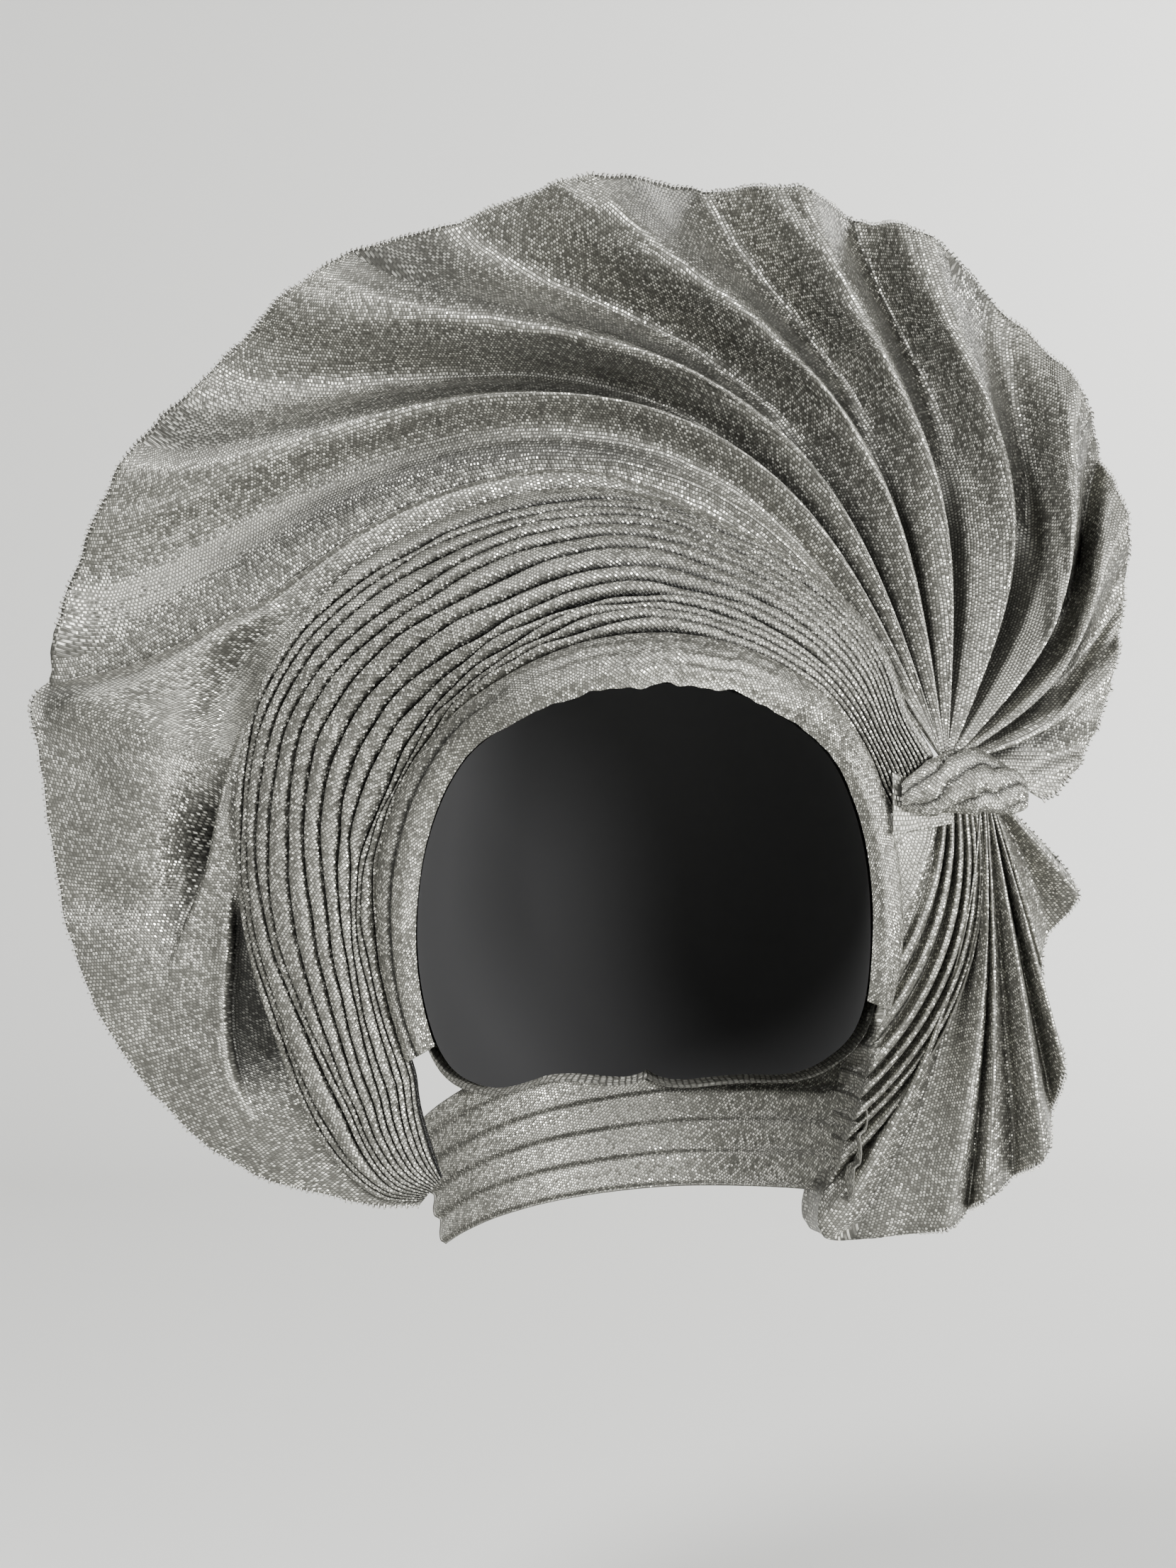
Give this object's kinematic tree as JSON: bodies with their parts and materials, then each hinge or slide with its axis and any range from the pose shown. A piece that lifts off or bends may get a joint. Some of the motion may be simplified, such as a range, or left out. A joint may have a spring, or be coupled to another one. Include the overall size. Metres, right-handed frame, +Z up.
{
  "type": "tied gele head tie",
  "caption": "Pre-tied gele head tie of silver metallic cloth: pleats round the face, a tall fan of folds and a flared side tail gathered at a knot by the temple.",
  "frame": {"origin": "middle of the head hollow at brow height, on the middle of the face opening as seen from the front", "axes": "+Z up out of the top of the head, -Y out through the face opening, +X to the side of the knot, which is the wearer's left"},
  "size_m": [0.3558, 0.165, 0.349],
  "materials": {
    "silver_lurex": "metallic ribbed weave with a bright sparkle",
    "black_stretch": "matt stretch knit"
  },
  "bodies": {
    "root": {"crown_cap": "silver_lurex", "cap_edge": "black_stretch", "face_band": "silver_lurex", "front_pleats": "silver_lurex", "fan": "silver_lurex", "knot": "silver_lurex", "tie_strip": "silver_lurex", "side_tail": "silver_lurex", "nape_wrap": "silver_lurex"}
  },
  "joints": []
}
